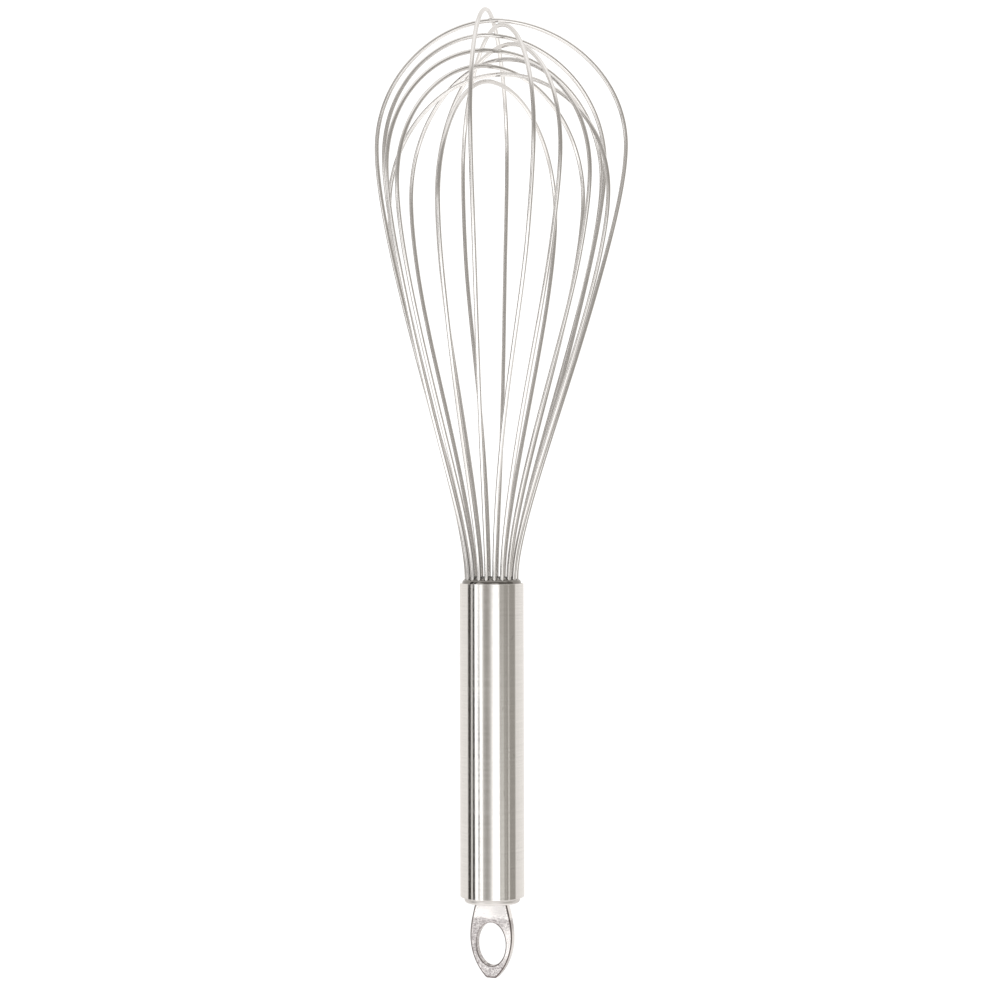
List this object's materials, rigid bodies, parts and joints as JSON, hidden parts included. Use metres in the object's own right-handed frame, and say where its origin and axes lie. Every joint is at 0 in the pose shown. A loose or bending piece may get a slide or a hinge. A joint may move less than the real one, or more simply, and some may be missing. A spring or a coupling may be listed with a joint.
{
  "type": "balloon whisk",
  "caption": "Hand whisk with a balloon of nested wire loops, a straight round tube handle and a flat hanging eye at its end.",
  "frame": {"origin": "centre of the hanging eye's hole, on the whisk's axis", "axes": "+Z along the whisk's axis from the hanging eye to the crown of the balloon; -Y is the front, where the hanging eye's face shows, turned 22 degrees towards -X; +X is to the right seen from the front"},
  "size_m": [0.0804, 0.0842, 0.3049],
  "materials": {
    "brushed_handle": "satin stainless steel, brushed round the handle",
    "cast_eye": "tumbled and polished cast stainless steel",
    "polished_plate": "polished stainless steel",
    "bright_wire": "bright drawn spring steel wire",
    "potting_resin": "matt cast resin"
  },
  "bodies": {
    "root": {"handle_tube": "brushed_handle", "end_cap": "brushed_handle", "hanging_eye": "cast_eye", "tang_pin": "cast_eye", "mouth_plate": "polished_plate", "resin_core": "potting_resin", "wire_01": "bright_wire", "wire_02": "bright_wire", "wire_03": "bright_wire", "wire_04": "bright_wire", "wire_05": "bright_wire", "wire_06": "bright_wire", "wire_07": "bright_wire", "wire_08": "bright_wire", "wire_09": "bright_wire", "wire_10": "bright_wire"}
  },
  "joints": []
}
